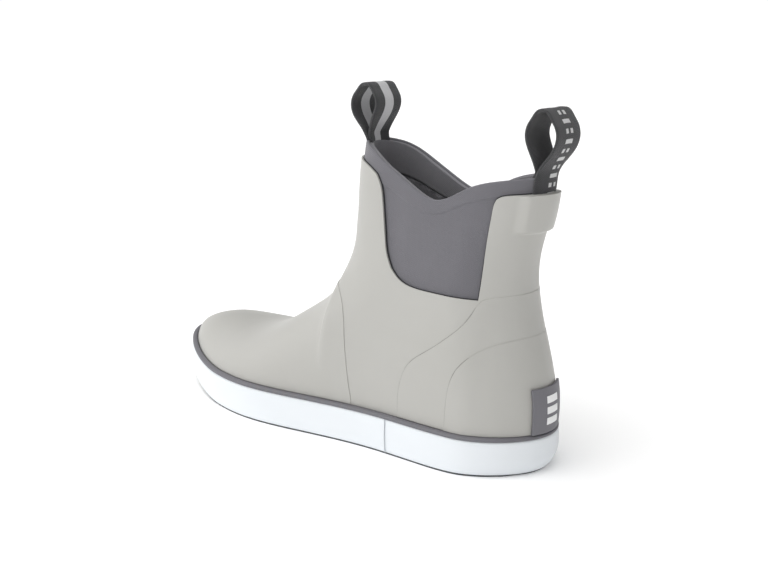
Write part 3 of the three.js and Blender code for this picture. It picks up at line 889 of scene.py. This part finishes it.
def seam_face(x, side, depth):
    """Points of the glue line in a seam of the band, at a depth behind the band's outer face."""
    ends = seam_station(x, side) + SEAM_FILL * np.array([-1, 1])
    rows = [sole_ring(ends, inset + weight * heel_tuck(x, z) + depth, z) for inset, z, weight in band_outer]
    return np.concatenate(rows)


for x, side in BAND_SEAMS:
    name = "band_seam_inner" if side > 0 else "band_seam_outer"
    faces = grid_faces(len(band_outer), 2)
    glue = solid_sheet(name, faces, seam_face(x, side, 0.1), seam_face(x, side, 0.8), glue_line, 0.05)
    place_piece(glue, "boot", "sidewall_rubber")

stripe_stations = np.linspace(0, 2, 400, endpoint=False)
stripe_profile = [(1.7, BAND_TOP, 0), (1.35, 22.5, 0), (1.2, 22.9, 0), (1.25, 23.5, 0), (1.6, 24.0, 0),
                  (2.3, 24.35, 0), (3.4, 24.55, 0), (4.9, STRIPE_TOP, 0), (4.9, BAND_TOP, 0)]
stripe = swept("sidewall_pinstripe", stripe_stations, stripe_profile, stripe_rubber)
place_piece(stripe, "boot", "stripe_rubber", "sidewall_stripe")


# ---------- outsole with its wavy sipes ----------
SIPE_PITCH = 9.0
SIPE_WIDTH = 1.3
SIPE_DEPTH = 0.5
OUTSOLE_EDGE = 0.72
OUTSOLE_INSET = 2.4
OUTSOLE_BACK = -143.2
OUTSOLE_FRONT = 146.8
WAVE = 2.2
WAVE_LENGTH = 17.0


def sole_rows():
    """Distances along the sole of the mesh rows, and how deep the sipe is at each."""
    rows = [(OUTSOLE_BACK + step, 0.0) for step in (0.02, 0.5, 1.4)]
    half = SIPE_WIDTH / 2
    x = OUTSOLE_BACK + 3.5
    while x < OUTSOLE_FRONT - 3:
        rows += [(x - half, 0.0), (x - half + 0.25, 1.0), (x + half - 0.25, 1.0), (x + half, 0.0),
                 (x + SIPE_PITCH / 2, 0.0)]
        x += SIPE_PITCH
    rows = [row for row in rows if row[0] < OUTSOLE_FRONT - 2]
    return np.array(rows + [(OUTSOLE_FRONT - step, 0.0) for step in (1.4, 0.5, 0.02)])


def outsole_mesh():
    """Bottom and top points of the outsole, in rows that wave across it."""
    stations, depth = sole_rows().T
    s = np.linspace(0, 1, 90)
    margin = np.minimum(s, 1 - s) * 100
    x = np.repeat(stations[:, None], len(s), 1)
    for _ in range(6):
        clipped = np.clip(x, OUTSOLE_BACK, OUTSOLE_FRONT)
        inner, outer = outline(clipped, OUTSOLE_INSET + heel_tuck(clipped, 0.0))
        y = mix(outer, inner, s[None])
        hold = np.clip(np.minimum(stations - OUTSOLE_BACK, OUTSOLE_FRONT - stations) / 8, 0, 1)[:, None]
        x = stations[:, None] + WAVE * hold * np.sin(2 * np.pi * y / WAVE_LENGTH)
    groove = depth[:, None] * ease((margin - 2.5) / 2.0)[None] * ease((137 - np.abs(stations)) / 4)[:, None]
    bottom = np.stack([x, y, SIPE_DEPTH * groove + sole_rise(x)], -1)
    top = np.stack([x, y, np.full(x.shape, OUTSOLE_EDGE) + sole_rise(x)], -1)
    return bottom, top


sole_bottom, sole_top = outsole_mesh()
sole_faces = grid_faces(*sole_bottom.shape[:2])
outsole = solid_sheet("tread_outsole", sole_faces, sole_bottom.reshape(-1, 3), sole_top.reshape(-1, 3),
                      dark_rubber, 0.3)
place_piece(outsole, "boot", "outsole_rubber", "outsole")


# ---------- footbed ----------
FOOTBED_RINGS = 30
FOOTBED_COLUMNS = 300
FOOTBED_INSET = 15.4
CUP_HEIGHT = 2.6
ARCH_HEIGHT = 2.2


def footbed_mesh(z_low, thickness):
    """A contoured pad: its rim rises round the heel, and its middle under the arch."""
    rim = sole_ring(np.linspace(0, 2, FOOTBED_COLUMNS, endpoint=False), FOOTBED_INSET, 0.0)
    rings = []
    for share in np.linspace(0.02, 1, FOOTBED_RINGS):
        x = rim[:, 0] * share
        y = mix(outline_centre(rim[:, 0]), rim[:, 1], share)
        cup = CUP_HEIGHT * share ** 5 * (0.35 + 0.65 * ease((-30 - x) / 70))
        arch = ARCH_HEIGHT * ease(share) * ease(y / 30) * np.exp(-((x + 30) / 45) ** 2)
        rings.append(np.column_stack([x, y, z_low + cup + arch + sole_rise(x)]))
    low = np.concatenate(rings)
    hub = list(range(FOOTBED_COLUMNS))[::-1]
    faces = grid_faces(FOOTBED_RINGS, FOOTBED_COLUMNS, closed_columns=True) + [hub]
    return low, low + [0, 0, thickness], faces


for name, z_low, thickness, material, slot, node in (
        ("footbed_pad", 14.4, 4.4, footbed_foam, "footbed_foam", "footbed"),
        ("footbed_top_cloth", 19.0, 1.1, footbed_cloth, "footbed_fabric", "footbed_cover")):
    low, high, faces = footbed_mesh(z_low, thickness)
    pad = solid_sheet(name, faces, low, high, material, 0.4)
    place_piece(pad, "boot", slot, node)

# ---------- pull loops ----------
# distance of a loop's leg from the middle, at shares of the loop's height
LOOP_HALF = [(1.4, 0), (2.3, 0.075), (5.2, 0.24), (8.3, 0.42), (9.6, 0.58), (8.7, 0.73), (5.6, 0.88),
             (2.9, 0.98), (1.6, 0.998), (0, 1)]
LOOP = LOOP_HALF + [(-x, z) for x, z in LOOP_HALF[-2::-1]]
STRAP_STATIONS = 150
STRAP_COLUMNS = 13
MARK_PITCH = 5.2                 # spacing of the small marks printed along the rear loop


def strap_grid(centre, hinge, height, lean, tails):
    """Centre surface of one strap: up from its outer tail, round the loop and down its inner tail.

    tails gives the offset from the boot's surface and the lowest height of the outer and the inner tail."""
    side = 1 if centre else -1
    width = np.linspace(-WEBBING_WIDTH / 2, WEBBING_WIDTH / 2, STRAP_COLUMNS)
    flat = np.column_stack([np.zeros(STRAP_COLUMNS), width, np.zeros(STRAP_COLUMNS)])
    collar_z = collar_edge(hinge[0])

    def tail(offset, low):
        heights = centre_v(np.linspace(low, collar_z - 1.0, 8), centre)
        return [upper(wrap_uv(width, v, centre), v, np.full(STRAP_COLUMNS, offset)) for v in heights]

    outside, inside = [tail(*ends) for ends in tails]
    bow_out, bow_in = [rows[-1] - rows[-1][STRAP_COLUMNS // 2] for rows in (outside, inside)]
    rows = list(outside)
    for x, share in LOOP:
        rise = height * share
        middle = np.array([hinge[0] + side * x + lean * rise, 0, hinge[1] + rise])
        fade = 1 - ease((middle[2] - collar_z) / 16)
        bow = mix(bow_in, bow_out, ease((x + 2) / 4))
        rows.append(middle + mix(flat, bow, fade))
    rows += inside[::-1]
    return np.stack([strand([row[c] for row in rows], STRAP_STATIONS) for c in range(STRAP_COLUMNS)], 1)


def strap(name, grid, material, inner_shift=0.0):
    """Webbing of full thickness on a centre surface, with UVs that follow it.

    inner_shift moves the inner face's UVs sideways, clear of a pattern printed on the outer face alone."""
    rows, columns = grid.shape[:2]
    normal = unit(np.cross(np.gradient(grid, axis=0), np.gradient(grid, axis=1)))
    edge = np.abs(np.linspace(-1, 1, columns))
    half = WEBBING_THICKNESS / 2 - 0.18 * ease((edge - 0.80) / 0.2)
    outer = grid + normal * half[None, :, None]
    inner = grid - normal * half[None, :, None]
    obj = make_object(name, np.concatenate([outer.reshape(-1, 3), inner.reshape(-1, 3)]),
                      closed_faces(grid_faces(rows, columns, flip=True), rows * columns), material)
    along = np.concatenate([[0], np.cumsum(np.linalg.norm(np.diff(grid[:, columns // 2], axis=0), axis=1))])
    width = np.linspace(0, 1, columns)
    layout = np.stack(np.meshgrid(width, along / WEBBING_WIDTH), -1).reshape(-1, 2)
    layout = np.concatenate([layout, layout + [inner_shift, 0]])
    uv = obj.data.uv_layers.new(name="strap")
    corner = np.zeros(len(obj.data.loops), int)
    obj.data.loops.foreach_get("vertex_index", corner)
    uv.data.foreach_set("uv", layout[corner].astype(np.float32).ravel())
    return soften_edges(obj, 0.4)


front_look, _, _ = webbing_look("front_webbing_look", "464648", "d6d6d8", "3d3d3f", 0.34)
rear_look, from_middle, rear_parts = webbing_look("rear_webbing_look", "464648", "3f3f41", "3d3d3f", 0.5)
cell = rear_look.maths("MULTIPLY", rear_parts.outputs[1], WEBBING_WIDTH / MARK_PITCH)
beat = rear_look.maths("ABSOLUTE", rear_look.maths("SUBTRACT", rear_look.maths("FRACT", cell), 0.5))
bar = rear_look.maths("LESS_THAN", beat, 0.23)
column = rear_look.maths("LESS_THAN", from_middle, 0.15)
pair = rear_look.maths("FRACT", rear_look.maths("MULTIPLY", cell, 0.5))
every_other = rear_look.maths("GREATER_THAN", pair, 0.5)
split = rear_look.maths("MULTIPLY", rear_look.maths("LESS_THAN", from_middle, 0.045), every_other)
mark = rear_look.maths("SUBTRACT", rear_look.maths("MULTIPLY", bar, column), split, True)
rear_look.colour = rear_look.blend(mark, rear_look.colour, rgb("cfcfcf"))

front_grid = strap_grid(1, FRONT_HINGE, FRONT_HEIGHT, FRONT_LEAN, [(-2.75, 173), (-4.75, 173)])
front_strap = strap("front_pull_webbing", front_grid, front_look.done())
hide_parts("front_loop", "front_loop_outer_tail", "front_loop_inner_tail")
rear_grid = strap_grid(0, REAR_HINGE, REAR_HEIGHT, 0.0, [(-0.95, 157.5), (-4.6, 162)])
rear_strap = strap("rear_pull_webbing", rear_grid, rear_look.done(), 2.0)
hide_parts("rear_loop", "rear_loop_outer_tail", "rear_loop_inner_tail")
# each strap's transform is baked into its points
for piece, body, hinge in ((front_strap, "front_pull", FRONT_HINGE), (rear_strap, "rear_pull", REAR_HINGE)):
    x, z = hinge
    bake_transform(piece)

# ---------- hidden CAD pieces keep their shape and take a material ----------
steel = Look("shank_steel", "b4b6b8", "9c9ea0", roughness=0.35, Metallic=1.0)
steel.relief(steel.noise(700, 3), 0.03)
board = Look("fibre_board", "9a8468", "8a7459", drift=60, roughness=0.9)
board.relief(board.noise(500, 5), 0.2)
foam_sole = Look("midsole_foam", "d9dadb", "cdcfd0", drift=40, roughness=0.85)
foam_sole.relief(foam_sole.noise(900, 3), 0.15)
stiff = Look("stiffener_sheet", "a9a59c", "9a968d", drift=50, roughness=0.8)
stiff.relief(stiff.noise(600, 4), 0.12)
for nodes, look in ((("shank",), steel), (("insole_board",), board), (("midsole",), foam_sole),
                    (("toe_puff", "heel_stiffener"), stiff)):
    material = look.done()
    for node in nodes:
        mesh = bpy.data.objects[node].data
        mesh.materials.clear()
        mesh.materials.append(material)


# ---------- floor, light and camera ----------
KEY_DIRECTION = (0.27, 0.30, 0.915)
KEY_SPREAD = 3.0
KEY_STRENGTH = 2.6
DOME_STRENGTH = 0.04
HORIZON_STRENGTH = 1.03
HORIZON_BAND = (0.12, 0.38)      # heights between which the pale horizon fades into the dome
FLOOR_GLOW = 0.11
FLOOR_HALF_SIZE = 4000
FLOOR_LEVEL = -0.05
LAMP_PLACE = (0.7, 1.3, 0.9)     # the lamp's and the camera's places are in metres
LAMP_TARGET = (0, 0, 0.08)
CAMERA_PLACE = (-0.4423, 0.4940, 0.2552)
CAMERA_DIRECTION = (0.6255, -0.7389, -0.2504)


def studio_world():
    """A soft dome: brightest high up on the toe's inner side, and pale along the horizon."""
    world = bpy.data.worlds.new("studio")
    bpy.context.scene.world = world
    world.use_nodes = True
    nodes, links = world.node_tree.nodes, world.node_tree.links

    def step(kind, settings, *values):
        made = nodes.new(kind)
        for key, value in settings.items():
            setattr(made, key, value)
        for socket, value in zip(made.inputs, values):
            if hasattr(value, "is_output"):
                links.new(value, socket)
            else:
                socket.default_value = value
        return made.outputs

    way = nodes.new("ShaderNodeTexCoord").outputs["Generated"]
    towards = step("ShaderNodeVectorMath", {"operation": "DOT_PRODUCT"}, way, KEY_DIRECTION)["Value"]
    beam = step("ShaderNodeMath", {"operation": "MAXIMUM"}, towards, 0.0)[0]
    beam = step("ShaderNodeMath", {"operation": "POWER"}, beam, KEY_SPREAD)[0]
    dome = step("ShaderNodeMath", {"operation": "MULTIPLY_ADD"}, beam, KEY_STRENGTH, DOME_STRENGTH)[0]
    height = step("ShaderNodeSeparateXYZ", {}, way)["Z"]
    smooth = {"interpolation_type": "SMOOTHSTEP"}
    pale = step("ShaderNodeMapRange", smooth, height, *HORIZON_BAND, 1.0, 0.0)[0]
    mixer = nodes.new("ShaderNodeMix")
    mixer.data_type = "FLOAT"
    links.new(pale, mixer.inputs[0])
    links.new(dome, mixer.inputs[2])
    mixer.inputs[3].default_value = HORIZON_STRENGTH
    links.new(mixer.outputs[0], nodes["Background"].inputs["Strength"])
    nodes["Background"].inputs["Color"].default_value = (1, 1, 1, 1)


def aimed(name, data, place, direction):
    """An object for a lamp or a camera, looking along a direction."""
    obj = bpy.data.objects.new(name, data)
    obj.location = place
    obj.rotation_euler = Vector(direction).to_track_quat("-Z", "Y").to_euler()
    bpy.context.scene.collection.objects.link(obj)
    return obj


paint = Look("floor_paint", "ffffff", "fdfdfd", drift=2, roughness=0.9, Emission_Color=(1, 1, 1, 1),
             Emission_Strength=FLOOR_GLOW)
signs = ((-1, -1), (1, -1), (1, 1), (-1, 1))
corners = [(a * FLOOR_HALF_SIZE, b * FLOOR_HALF_SIZE, FLOOR_LEVEL) for a, b in signs]
floor = make_object("floor", corners, [[0, 1, 2, 3]], paint.done())
studio_world()
lamp = bpy.data.lights.new("key", "AREA")
lamp.size = 1.2
lamp.energy = 3
aimed("key", lamp, LAMP_PLACE, Vector(LAMP_TARGET) - Vector(LAMP_PLACE))
view = bpy.data.cameras.new("photo_view")
view.lens = 50
view.sensor_width = 36
bpy.context.scene.camera = aimed("photo_view", view, CAMERA_PLACE, CAMERA_DIRECTION)
bpy.context.scene.view_settings.view_transform = "Standard"
